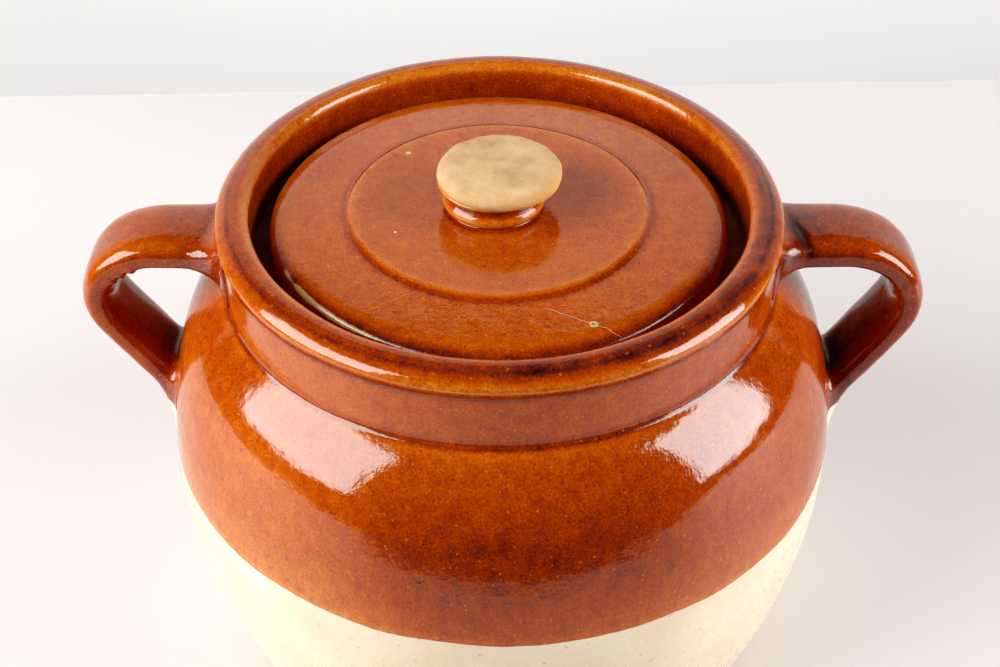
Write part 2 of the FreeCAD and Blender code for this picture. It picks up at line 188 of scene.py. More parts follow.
class Ripple:
    """Smooth unevenness in space: a sum of waves about size mm long, between -1 and 1 nearly everywhere."""

    def __init__(self, size, squash=(1, 1, 1), waves=14):
        heading = draws.normal(size=(waves, 3))
        heading /= np.linalg.norm(heading, axis=1)[:, None]
        self.waves = heading * (TAU / size) * draws.uniform(0.6, 1.5, (waves, 1)) / np.array(squash)
        self.phases = draws.uniform(0, TAU, waves)

    def __call__(self, points):
        return np.sin(points @ self.waves.T + self.phases).sum(-1) / math.sqrt(2 * len(self.phases))


POT_SWELL = Ripple(38, squash=(1, 1, 0.7))
POT_RIPPLE = Ripple(11, squash=(1.6, 1.6, 0.6))
LID_SWELL = Ripple(34)
LID_RIPPLE = Ripple(9)
LINE_WAVER = Ripple(30)
LINE_FRAY = Ripple(6)


def smooth(value, low, high):
    """0 below low, 1 above high, with a soft ramp between."""
    share = np.clip((value - low) / (high - low), 0, 1)
    return share * share * (3 - 2 * share)


def pot_uneven(points):
    """How far the thrown surface stands out or in at these points, in mm."""
    x, y, z = points[..., 0], points[..., 1], points[..., 2]
    rings = np.sin(TAU * z / 7.5 + np.arctan2(y, x)) * smooth(z, 20, 60) * (1 - smooth(z, 125, 140))
    return (0.10 * POT_SWELL(points) + 0.022 * POT_RIPPLE(points) + 0.012 * rings) * smooth(z, 0, 5)


def lid_uneven(points):
    return 0.05 * LID_SWELL(points) + 0.015 * LID_RIPPLE(points)


def pot_settle(points):
    """The lean and the slight oval that the pot took in drying and firing."""
    x, y, z = points[..., 0], points[..., 1], points[..., 2]
    turn = np.arctan2(y, x)
    radius = np.hypot(x, y)
    out = (0.20 * np.cos(2 * turn + 0.5) + 0.10 * np.cos(3 * turn + 2)) * radius / 100
    lean = 0.6 - 0.75 * smooth(z, 105, 150)
    tilt = 0.7 * np.sin(turn) * smooth(z, SEAT + 2, RIM - 4)
    return np.stack(
        [
            x * (1 + out / np.maximum(radius, 1)) + lean,
            y * (1 + out / np.maximum(radius, 1)),
            z + z / RIM * (0.15 * np.cos(turn - 1) + 0.10 * np.cos(2 * turn + 1)) + tilt,
        ],
        -1,
    )


def lid_settle(points):
    x, y, z = points[..., 0], points[..., 1], points[..., 2]
    turn = np.arctan2(y, x)
    radius = np.hypot(x, y)
    out = 0.15 * np.cos(2 * turn + 1.1) * radius / 67
    sag = 0.06 * np.cos(2 * turn + 0.4) * (radius / 67) ** 2 * smooth(z, SEAT, SEAT + 5)
    return np.stack(
        [x * (1 + out / np.maximum(radius, 1)) - 0.5, y * (1 + out / np.maximum(radius, 1)), z + sag], -1
    )


def turned(outline, lengths, depths, count, uneven, settle, shift=None):
    """Points (rows, count, 3) of the outline turned about Z, each row at its running length and depth."""
    turns = np.arange(count) / count * TAU
    lengths = np.broadcast_to(np.asarray(lengths, float)[:, None], (len(lengths), count))
    if shift is not None:
        lengths = lengths + shift
    place, normal = outline.at(lengths)
    spin = lambda flat: np.stack(
        [flat[..., 0] * np.cos(turns), flat[..., 0] * np.sin(turns), flat[..., 1]], -1
    )
    surface, out = spin(place), spin(normal)
    depths = np.asarray(depths, float).reshape(len(lengths), -1)
    lift = uneven(surface) - np.broadcast_to(depths, lengths.shape)
    return settle(surface + out * lift[..., None])


def make_mesh(name, rings, loop=False, poles=(None, None), fields=None):
    """A closed mesh from rings of points (rows, around, 3), in mm. loop joins the last ring to the first;
    poles are single points that close the first and last ring."""
    rows, around = rings.shape[:2]
    points = rings.reshape(-1, 3)
    row, column = np.meshgrid(np.arange(rows if loop else rows - 1), np.arange(around), indexing="ij")
    corner = lambda i, j: (i % rows) * around + j % around
    here, below = corner(row, column), corner(row + 1, column)
    beside, across = corner(row, column + 1), corner(row + 1, column + 1)
    faces = np.stack([here, beside, across, below], -1).reshape(-1, 4).tolist()
    for end, pole in zip((0, rows - 1), poles):
        if pole is None:
            continue
        points = np.vstack([points, pole])
        ring = [(end * around + j, end * around + (j + 1) % around) for j in range(around)]
        faces += [(len(points) - 1, b, a) if end == 0 else (len(points) - 1, a, b) for a, b in ring]
    mesh = bpy.data.meshes.new(name)
    mesh.from_pydata((points * MM).tolist(), [], faces)
    mesh.validate()
    for key, values in (fields or {}).items():
        values = np.asarray(values, np.float32).reshape(-1)
        values = np.r_[values, np.full(len(points) - len(values), values[-1])]
        mesh.attributes.new(key, "FLOAT", "POINT").data.foreach_set("value", values)
    mesh.polygons.foreach_set("use_smooth", [True] * len(mesh.polygons))
    if signed_volume(mesh) < 0:
        mesh.flip_normals()
    mesh.update()
    thing = bpy.data.objects.new(name, mesh)
    bpy.context.collection.objects.link(thing)
    return thing


def signed_volume(mesh):
    mesh.calc_loop_triangles()
    corners = np.empty(len(mesh.loop_triangles) * 3, np.int32)
    mesh.loop_triangles.foreach_get("vertices", corners)
    places = np.empty(len(mesh.vertices) * 3)
    mesh.vertices.foreach_get("co", places)
    a, b, c = places.reshape(-1, 3)[corners.reshape(-1, 3)].transpose(1, 0, 2)
    return float(np.einsum("ij,ij->i", a, np.cross(b, c)).sum() / 6)


# Points round a ring of a coat, of the clay under it, and of the liner or the knob.
COAT_COUNT, CLAY_COUNT, FINE_COUNT = 320, 192, 256
END_STEPS = np.array([0, 0.03, 0.1, 0.2, 0.35, 0.55, 0.8, 1.1, 1.5, 2.0, 2.6])


def coat_rows(outline, start, end, sparse=5):
    """Running lengths of a coat's face, close together at both ends, and of its back."""
    inner = outline.length[(outline.length > start + 3) & (outline.length < end - 3)]
    face = np.r_[start + END_STEPS, inner, end - END_STEPS[::-1]]
    back = np.r_[face[-1] - 0.4, inner[::-1][::sparse], face[0] + 0.4]
    return face, back


def bead(from_edge, roll=0.7):
    """Depth of a coat's face near its edge: it dives round into the clay."""
    share = np.clip(1 - from_edge / roll, 0, 1)
    return COAT_BURIED * (1 - np.sqrt(1 - share**2))


def coat_rings(outline, start, end, uneven, settle, start_shift=None, roll=0.7, ridge=0.0, sparse=5):
    """Points, tones and running lengths of a coat: a thin shell whose rounded edges sink into the clay."""
    face, back = coat_rows(outline, start, end, sparse)
    from_start, from_end = face - start, end - face
    depth = bead(np.minimum(from_start, from_end), roll=roll)
    depth = depth - ridge * np.exp(-(((from_start - 1.0) / 0.8) ** 2))
    shift_rows = np.r_[np.exp(-((from_start / 5) ** 2)), np.exp(-(((back - start) / 5) ** 2))]
    shift = None if start_shift is None else shift_rows[:, None] * start_shift[None, :]
    lengths = np.r_[face, back]
    depths = np.r_[depth, np.full(len(back), COAT_BURIED)]
    rings = turned(outline, lengths, depths, COAT_COUNT, uneven, settle, shift)
    ruler, soft = outline.softness(0.9)
    tone = np.clip(np.interp(lengths, ruler, soft) * 2.4, -1, 0.75)
    return rings, np.broadcast_to(tone[:, None], rings.shape[:2]), lengths


# ---------------------------------------------------------------- node helpers

def material(name):
    made = bpy.data.materials.new(name)
    made.use_nodes = True
    made.node_tree.nodes.clear()
    return made, made.node_tree


def node(tree, kind, out=0, settings=None, **inputs):
    """Add a node and return one of its outputs. Inputs are sockets or plain values, named with _ for a
    space, or with i and their number."""
    made = tree.nodes.new(kind)
    for key, value in (settings or {}).items():
        setattr(made, key, value)
    for key, value in inputs.items():
        numbered = key[0] == "i" and key[1:].isdigit()
        socket = made.inputs[int(key[1:]) if numbered else key.replace("_", " ")]
        if isinstance(value, bpy.types.NodeSocket):
            tree.links.new(value, socket)
        else:
            socket.default_value = value
    return made.outputs[out]


def math_node(tree, operation, a, b=0.0, clamp=False):
    return node(tree, "ShaderNodeMath", settings={"operation": operation, "use_clamp": clamp}, i0=a, i1=b)


def noise(tree, where, scale, detail=2.0, rough=0.5):
    return node(tree, "ShaderNodeTexNoise", Vector=where, Scale=scale, Detail=detail, Roughness=rough)


def uneven_by(tree, source, weight):
    """A noise, which lies round a half, turned into one that lies round 0 and is weight times as strong."""
    return math_node(tree, "MULTIPLY", math_node(tree, "SUBTRACT", source, 0.5), weight)


def ranged(tree, value, low, high, to_low=0.0, to_high=1.0):
    """Value from low to high taken to the range from to_low to to_high."""
    return node(
        tree, "ShaderNodeMapRange", Value=value,
        From_Min=low, From_Max=high, To_Min=to_low, To_Max=to_high,
    )


def ramp(tree, value, stops):
    """Colour by value: stops are (place, (r, g, b))."""
    made = tree.nodes.new("ShaderNodeValToRGB")
    tree.links.new(value, made.inputs[0])
    elements = made.color_ramp.elements
    while len(elements) < len(stops):
        elements.new(0.5)
    for element, (place, colour) in zip(elements, stops):
        element.position = place
        element.color = (*colour, 1)
    return made.outputs[0]


def mix(tree, factor, a, b):
    """Colour a turning into colour b."""
    made = tree.nodes.new("ShaderNodeMix")
    made.data_type = "RGBA"
    for index, value in ((0, factor), (6, a), (7, b)):
        if isinstance(value, bpy.types.NodeSocket):
            tree.links.new(value, made.inputs[index])
        else:
            made.inputs[index].default_value = (*value, 1) if isinstance(value, tuple) else value
    return made.outputs[2]


def specks(tree, where, scale, size, share):
    """1 inside small round spots, one in each cell of about 1/scale, kept in this share of the cells."""
    cell = tree.nodes.new("ShaderNodeTexVoronoi")
    cell.inputs["Scale"].default_value = scale
    tree.links.new(where, cell.inputs["Vector"])
    dot = ranged(tree, cell.outputs["Distance"], size * 0.6, size, 1.0, 0.0)
    pick = node(tree, "ShaderNodeSeparateColor", Color=cell.outputs["Color"])
    kept = math_node(tree, "LESS_THAN", pick, share)
    return math_node(tree, "MULTIPLY", dot, kept)


def finish_surface(tree, colour, roughness, height, distance, **fixed):
    """The shader with a bump distance metres high; fixed are values of its own inputs."""
    shader = tree.nodes.new("ShaderNodeBsdfPrincipled")
    tree.links.new(colour, shader.inputs["Base Color"])
    tree.links.new(roughness, shader.inputs["Roughness"])
    bump = tree.nodes.new("ShaderNodeBump")
    bump.inputs["Distance"].default_value = distance
    tree.links.new(height, bump.inputs["Height"])
    tree.links.new(bump.outputs[0], shader.inputs["Normal"])
    for key, value in fixed.items():
        shader.inputs[key.replace("_", " ")].default_value = value
    out = tree.nodes.new("ShaderNodeOutputMaterial")
    tree.links.new(shader.outputs[0], out.inputs[0])


def object_point(tree):
    return node(tree, "ShaderNodeTexCoord", out="Object")


def stretched(tree, where, scale, turn=(0, 0, 0)):
    return node(tree, "ShaderNodeMapping", Vector=where, Scale=scale, Rotation=turn)


BROWN = [
    (0.00, (0.020, 0.004, 0.003)),
    (0.22, (0.105, 0.019, 0.013)),
    (0.45, (0.305, 0.046, 0.003)),
    (0.62, (0.430, 0.090, 0.007)),
    (0.80, (0.520, 0.180, 0.030)),
    (1.00, (0.640, 0.340, 0.120)),
]


def brown_colour(tree, where, tone):
    """Iron glaze: amber where it drew thin over an edge, near black where it pooled, flecked all over. Its
    tone also carries painted light and shade.
    """
    broad = noise(tree, where, 28, 3)
    middle = noise(tree, where, 230, 4, 0.6)
    fine = noise(tree, where, 1500, 2)
    drips = noise(tree, stretched(tree, where, (420, 420, 60)), 1.0, 3)
    pooled = math_node(tree, "MULTIPLY", tone, -0.9, clamp=True)
    mottle = noise(tree, where, 120, 5, 0.65)
    value = math_node(tree, "ADD", 0.47, math_node(tree, "MULTIPLY", tone, 0.34))
    layers = ((broad, 0.18), (middle, 0.26), (fine, 0.44), (drips, 0.14), (mottle, pooled))
    for source, weight in layers:
        value = math_node(tree, "ADD", value, uneven_by(tree, source, weight))
    colour = ramp(tree, value, BROWN)
    amber = specks(tree, where, 520, 0.22, 0.22)
    colour = mix(tree, math_node(tree, "MULTIPLY", amber, 0.34), colour, (0.62, 0.25, 0.05))
    blotch = specks(tree, where, 300, 0.30, 0.45)
    colour = mix(tree, math_node(tree, "MULTIPLY", blotch, 0.40), colour, (0.20, 0.035, 0.030))
    dark = specks(tree, where, 620, 0.20, 0.32)
    return mix(tree, math_node(tree, "MULTIPLY", dark, 0.55), colour, (0.06, 0.012, 0.008)), middle, fine


def make_brown(name):
    """A brown glaze without its shader yet, and the sockets that the shader is built from."""
    made, tree = material(name)
    where = object_point(tree)
    tone = node(tree, "ShaderNodeAttribute", out="Fac", settings={"attribute_name": "tone"})
    colour, middle, fine = brown_colour(tree, where, tone)
    return made, tree, where, tone, colour, middle, fine


def brown_surface(tree, where, tone, colour, middle, fine):
    """Glossy, with a faint orange peel, and duller where the tone is dark: where the glaze pooled in a
    hollow, and where shade is painted.
    """
    rough = ranged(tree, middle, 0.3, 0.7, 0.045, 0.10)
    dull = ranged(tree, tone, -0.25, -0.75, 0.0, 0.26)
    rough = math_node(tree, "ADD", rough, dull)
    peel = math_node(tree, "MULTIPLY", noise(tree, where, 620, 2), 0.22)
    grain = math_node(tree, "MULTIPLY", fine, 0.10)
    height = math_node(tree, "ADD", math_node(tree, "ADD", middle, peel), grain)
    finish_surface(tree, colour, rough, height, 0.00011, IOR=1.52)


def brown_glaze():
    made, tree, where, tone, colour, middle, fine = make_brown("brown_glaze_finish")
    brown_surface(tree, where, tone, colour, middle, fine)
    return made


def handle_glaze():
    """The brown coat down a handle, stopping above the cream tip of its tail."""
    made, tree, where, tone, colour, middle, fine = make_brown("handle_glaze_finish")
    above = node(tree, "ShaderNodeAttribute", out="Fac", settings={"attribute_name": "above"})
    fray = uneven_by(tree, middle, 1.6)
    line = ranged(tree, math_node(tree, "ADD", above, fray), -0.25, 0.25)
    colour = mix(tree, line, cream_colour(tree, where), colour)
    brown_surface(tree, where, tone, colour, middle, fine)
    return made


def cream_colour(tree, where):
    broad = noise(tree, where, 35, 3)
    colour = ramp(tree, broad, [(0.3, (0.69, 0.525, 0.36)), (0.7, (0.76, 0.62, 0.465))])
    tan = specks(tree, where, 330, 0.24, 0.20)
    colour = mix(tree, math_node(tree, "MULTIPLY", tan, 0.45), colour, (0.40, 0.28, 0.15))
    grey = specks(tree, stretched(tree, where, (1, 1, 2.2)), 170, 0.14, 0.30)
    return mix(tree, math_node(tree, "MULTIPLY", grey, 0.5), colour, (0.30, 0.24, 0.17))


def cream_glaze():
    made, tree = material("cream_glaze_finish")
    where = object_point(tree)
    middle = noise(tree, where, 260, 4, 0.6)
    rough = ranged(tree, middle, 0.3, 0.7, 0.20, 0.34)
    colour = cream_colour(tree, where)
    finish_surface(tree, colour, rough, middle, 0.00015, IOR=1.50, Specular_IOR_Level=0.35)
    return made


def liner_glaze():
    made, tree = material("liner_glaze_finish")
    where = object_point(tree)
    broad = noise(tree, where, 22, 3)
    colour = ramp(tree, broad, [(0.3, (0.70, 0.57, 0.38)), (0.7, (0.82, 0.73, 0.56))])
    tan = specks(tree, where, 260, 0.22, 0.25)
    colour = mix(tree, math_node(tree, "MULTIPLY", tan, 0.5), colour, (0.38, 0.26, 0.14))
    middle = noise(tree, where, 200, 4, 0.6)
    rough = ranged(tree, middle, 0.3, 0.7, 0.10, 0.25)
    finish_surface(tree, colour, rough, middle, 0.00012, IOR=1.50)
    return made


def bare_clay():
    """Buff fired clay, faintly stained, pitted and dusted with dark grains."""
    made, tree = material("bare_clay_finish")
    where = object_point(tree)
    broad = noise(tree, where, 110, 4, 0.6)
    stops = [(0.3, (0.44, 0.24, 0.100)), (0.5, (0.62, 0.365, 0.170)), (0.7, (0.73, 0.46, 0.235))]
    colour = ramp(tree, broad, stops)
    grain = noise(tree, where, 2200, 3, 0.7)
    colour = mix(tree, ranged(tree, grain, 0.35, 0.7, 0.0, 0.25), colour, (0.42, 0.30, 0.16))
    dark = specks(tree, where, 650, 0.20, 0.12)
    colour = mix(tree, math_node(tree, "MULTIPLY", dark, 0.6), colour, (0.16, 0.10, 0.06))
    tone = node(tree, "ShaderNodeAttribute", out="Fac", settings={"attribute_name": "tone"})
    colour = mix(tree, math_node(tree, "MULTIPLY", tone, 1.0, clamp=True), colour, (0.62, 0.30, 0.10))
    rough = ranged(tree, grain, 0.3, 0.7, 0.55, 0.75)
    finish_surface(tree, colour, rough, grain, 0.00025, IOR=1.45)
    return made


def scratch(tree, where, start, end, width):
    """1 along a fine wavering line from start to end on the lid's top, seen from above, in mm."""
    run = np.subtract(end, start)
    length = float(np.hypot(*run))
    turn = math.atan2(run[1], run[0])
    moved = node(tree, "ShaderNodeVectorMath", settings={"operation": "SUBTRACT"}, i0=where,
                 i1=(start[0] * MM, start[1] * MM, 0))
    laid = stretched(tree, moved, (1 / MM, 1 / MM, 1 / MM), turn=(0, 0, -turn))
    split = tree.nodes.new("ShaderNodeSeparateXYZ")
    tree.links.new(laid, split.inputs[0])
    waver = uneven_by(tree, noise(tree, where, 260, 3), 1.8)
    off = math_node(tree, "ABSOLUTE", math_node(tree, "ADD", split.outputs["Y"], waver))
    line = ranged(tree, off, width * 0.4, width, 1.0, 0.0)
    begin = ranged(tree, split.outputs["X"], 0, 2)
    stop = ranged(tree, split.outputs["X"], length - 2, length, 1.0, 0.0)
    return math_node(tree, "MULTIPLY", line, math_node(tree, "MULTIPLY", begin, stop))


def spot(tree, where, centre, size):
    """1 inside a small ragged spot, centre and size in mm."""
    gap = node(tree, "ShaderNodeVectorMath", out="Value", settings={"operation": "DISTANCE"}, i0=where,
               i1=tuple(c * MM for c in centre))
    ragged = uneven_by(tree, noise(tree, where, 900, 2), size * MM)
    return ranged(tree, math_node(tree, "ADD", gap, ragged), size * 0.75 * MM, size * MM, 1.0, 0.0)


def lid_glaze():
    """The lid's coat, with its hairline cracks, chips and the worn edge."""
    made, tree, where, tone, colour, middle, fine = make_brown("lid_glaze_finish")
    worn = node(tree, "ShaderNodeAttribute", out="Fac", settings={"attribute_name": "worn"})
    ragged = math_node(tree, "ADD", worn, uneven_by(tree, middle, 0.9))
    rubbed = ranged(tree, ragged, 0.42, 0.60)
    colour = mix(tree, rubbed, colour, (0.50, 0.31, 0.13))
    marks = [
        (scratch(tree, where, (11.7, -47.2), (33.4, -58.1), 0.17), 0.75, (0.10, 0.025, 0.012)),
        (scratch(tree, where, (11.8, -46.9), (33.5, -57.8), 0.14), 0.70, (0.75, 0.42, 0.24)),
        (scratch(tree, where, (-36.0, -47.5), (-23.0, -40.0), 0.11), 0.35, (0.70, 0.34, 0.16)),
        (spot(tree, where, (25.2, -53.6, 158.4), 1.35), 1.0, (0.60, 0.38, 0.17)),
        (spot(tree, where, (25.2, -53.5, 158.4), 0.75), 0.8, (0.24, 0.10, 0.05)),
        (spot(tree, where, (-28.2, 27.3, PLATEAU), 0.9), 1.0, (0.60, 0.40, 0.18)),
        (spot(tree, where, (-30.1, -14.1, PLATEAU), 0.4), 1.0, (0.90, 0.86, 0.80)),
        (spot(tree, where, (-61.0, 20.6, 158.0), 0.5), 1.0, (0.70, 0.60, 0.45)),
    ]
    for mask, strength, tint in marks:
        colour = mix(tree, math_node(tree, "MULTIPLY", mask, strength), colour, tint)
    brown_surface(tree, where, tone, colour, middle, fine)
    return made


# ---------------------------------------------------------------- the pot

def keep(thing, body, slot, finish, *nodes):
    """Ride, finish and replaced nodes of a piece; slot is not used."""
    thing.data.materials.append(finish)
    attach(thing, body)
    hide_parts(*nodes)


BROWN_FINISH = brown_glaze()
CREAM_FINISH = cream_glaze()
CLAY_FINISH = bare_clay()

around = np.arange(COAT_COUNT) / COAT_COUNT * TAU
ring_points = np.stack([100 * np.cos(around), 100 * np.sin(around), np.zeros(COAT_COUNT)], -1)
line_shift = 0.45 * LINE_WAVER(ring_points) + 0.12 * LINE_FRAY(ring_points)

line_at = POT.nearest(103.5, GLAZE_LINE)
lip_at = POT.nearest(MOUTH, SEAT + 1)
foot_at = POT.nearest(88.5, BARE_FOOT)

# Where the glaze pooled or drew thin, and a painted dark reflection along the rim's outer edge: (place on
# the outline, half width in mm, tone added).
POT_TONES = [
    (line_at, 0.35, -0.9),
    (line_at + COAT_LAP, 1.2, 0.30),
    (POT.nearest(COLLAR + 0.7, ROOT_Z - 1.8), 2.4, 0.60),
    (POT.nearest(COLLAR + 0.7, ROOT_Z - 1.8), 0.5, -0.40),
    (POT.nearest(82.2, 156.9), 0.5, -0.35),
    (POT.nearest(82.0, 161.8), 2.2, -0.22),
    (POT.nearest(82.9, 159.4), 1.2, -0.16),
    # painted reflection: a dark line along the rim's outer edge
    (POT.nearest(79.4, 163.4), 0.9, -0.50),
    (POT.nearest(MOUTH + 4, RIM), 2.6, -0.42),
    (POT.nearest(MOUTH, RIM - 10), 5.5, -0.16),
]


def banded(lengths, bands):
    """Tone added at these running lengths by soft bands along the outline."""
    return sum(change * np.exp(-(((lengths - at) / reach) ** 2)) for at, reach, change in bands)


rings, tone, lengths = coat_rings(
    POT, line_at, lip_at, pot_uneven, pot_settle, line_shift, roll=0.6, ridge=0.12
)
x, y, z = np.moveaxis(rings, -1, 0)
belly = 1 - smooth(z, 118, 136)
tone = tone + banded(lengths, POT_TONES)[:, None]
# Painted light: the belly is made lighter towards the lit left side. It is also made darker down the front
# middle.
tone = tone + belly * (0.34 * smooth(-x, 15, 75) - 0.36 * np.exp(-((x - 8) / 45) ** 2))
# Lighter low down towards the glaze line: partly thinner glaze, partly a painted reflection of the pale
# table.
tone = tone + 0.35 * (1 - smooth(z, 86, 106))
# Painted light: the collar is made lighter towards the lit left side.
collar = smooth(z, 137, 142) * (1 - smooth(z, 154, 157))
tone = tone + 0.32 * collar * smooth(-x, -10, 60)
# Painted shade: the rim is made darker on its right front.
tone = tone - 0.40 * smooth(z, 160.5, 162.5) * smooth(x - y, 20, 90)
pot_brown = make_mesh("pot_brown_coat", rings, loop=True, fields={"tone": tone})
keep(pot_brown, "crock", "brown_glaze", BROWN_FINISH, "brown_glaze")

rings, _, _ = coat_rings(POT, foot_at, line_at + COAT_LAP, pot_uneven, pot_settle, sparse=6)
pot_cream = make_mesh("pot_cream_coat", rings, loop=True)
keep(pot_cream, "crock", "cream_glaze", CREAM_FINISH, "cream_glaze")

lower = POT.length[POT.length <= lip_at + 0.5]
upper_ring = np.array([(MOUTH + COAT, SEAT), (THROAT + COAT + 1.2, SEAT), (THROAT + COAT, SEAT - 1.2)])
recess = [(2, 3), (40, 3), (64.5, 3), (66, 2.2), (67.4, 0.6), (68.4, 0.05)]
foot_rows = np.array(recess + [(70, 0), (76, 0), (80.5, 0)])
outer_place, outer_normal = POT.at(lower)
inner_place, inner_normal = INSIDE.at(INSIDE.length[1:-1:2])
clay_outline = Outline(
    foot_rows[:1], foot_rows[1:], outer_place[2:-1] - COAT * outer_normal[2:-1],
    upper_ring, inner_place[1:] - COAT * inner_normal[1:], [(2, FLOOR - COAT)], gap=6
)
depths = np.zeros(len(clay_outline.length))
rings = turned(
    clay_outline, clay_outline.length, depths, CLAY_COUNT, lambda p: pot_uneven(p) * 0.9, pot_settle
)
pot_clay = make_mesh("pot_clay", rings, poles=((0.6, 0, 3), (0.6, 0, FLOOR - COAT)),
                     fields={"tone": np.zeros(rings.shape[:2])})
keep(pot_clay, "crock", "bare_clay", CLAY_FINISH, "crock_body")

liner_start = INSIDE.nearest(THROAT, SEAT - 1)
face, back = coat_rows(INSIDE, liner_start, INSIDE.length[-1] - 0.5)
lengths = np.r_[back[1:], face]
depths = np.r_[np.full(len(back) - 1, COAT_BURIED), bead(face - liner_start)]
rings = turned(INSIDE, lengths, depths, FINE_COUNT, lambda p: pot_uneven(p) * 1.4, pot_settle)
floor_pole = pot_settle(np.array([0.0, 0.0, FLOOR]))
pot_liner = make_mesh("pot_liner", rings, poles=(floor_pole - (0, 0, COAT_BURIED), floor_pole))
keep(pot_liner, "crock", "liner_glaze", liner_glaze(), "liner_glaze")


# ---------------------------------------------------------------- the handles

def strap_line(start, runs, gap=0.4, ease=2.2):
    """Centre line of a strap in the XZ plane, from start heading outwards. Each run is (length, turn down
    in degrees); the turns are eased into each other. Gives points, headings and the running length."""
    bends = [np.full(round(length / gap), -math.radians(turn) / length) for length, turn in runs]
    bends = np.concatenate(bends)
    reach = np.arange(-3 * ease, 3 * ease + gap / 2, gap)
    weight = np.exp(-0.5 * (reach / ease) ** 2)
    eased = np.convolve(np.pad(bends, len(reach) // 2, mode="edge"), weight / weight.sum(), mode="valid")
    heading = np.r_[0, np.cumsum(eased[: len(bends)]) * gap]
    steps = np.c_[np.cos(heading[:-1]), np.sin(heading[:-1])] * gap
    return np.vstack([start, start + np.cumsum(steps, axis=0)]), heading, np.arange(len(heading)) * gap


def clearance(points):
    """Signed distance from the pot's glazed surface, positive outside, and the surface's normal there."""
    flat = np.c_[np.hypot(points[..., 0], points[..., 1]).ravel(), points[..., 2].ravel()]
    starts, runs = POT.points[:-1], np.diff(POT.points, axis=0)
    share = np.einsum("ijk,jk->ij", flat[:, None] - starts, runs) / np.einsum("jk,jk->j", runs, runs)
    nearest = starts + runs * np.clip(share, 0, 1)[..., None]
    away = flat[:, None] - nearest
    gap = np.hypot(away[..., 0], away[..., 1])
    best = gap.argmin(1)
    rows = np.arange(len(flat))
    normal = np.c_[runs[best, 1], -runs[best, 0]] / np.linalg.norm(runs[best], axis=1)[:, None]
    side = np.sign(np.einsum("ij,ij->i", away[rows, best], normal))
    return (gap[rows, best] * side).reshape(points.shape[:-1]), normal.reshape(*points.shape[:-1], 2)


SECTION_COUNT = 80


def strap_section():
    """Round the strap once: shares of its half width and half thickness, and how sharp its edge is."""
    turns = np.arange(SECTION_COUNT) / SECTION_COUNT * TAU
    power = 2 / 3.1
    wide = np.sign(np.cos(turns)) * np.abs(np.cos(turns)) ** power
    thick = np.sign(np.sin(turns)) * np.abs(np.sin(turns)) ** power
    return wide, thick, np.clip((np.abs(wide) * np.abs(thick)) * 2.2 - 0.8, 0, 1)


def crossing(values, level, last):
    """Place, as a row index with a fraction, where each column of values passes level on its first way up,
    or, with last, on its last way down."""
    if last:
        return len(values) - 1 - crossing(values[::-1], level, False)
    above = values > level
    first = above.argmax(0)
    columns = np.arange(values.shape[1])
    low, high = values[first - 1, columns], values[first, columns]
    return first - 1 + (level - low) / (high - low)


def take(grid, rows):
    """Rows of a grid (rows, columns, ...) at fractional places given for each column."""
    low = np.clip(np.floor(rows).astype(int), 0, len(grid) - 2)
    share = rows - low
    columns = np.broadcast_to(np.arange(grid.shape[1]), rows.shape)
    share = share[..., None] if grid.ndim > 2 else share
    return grid[low, columns] * (1 - share) + grid[low + 1, columns] * share


FLARE_TURNS = np.radians([0, 10, 20, 30, 40, 50, 60, 70, 80])


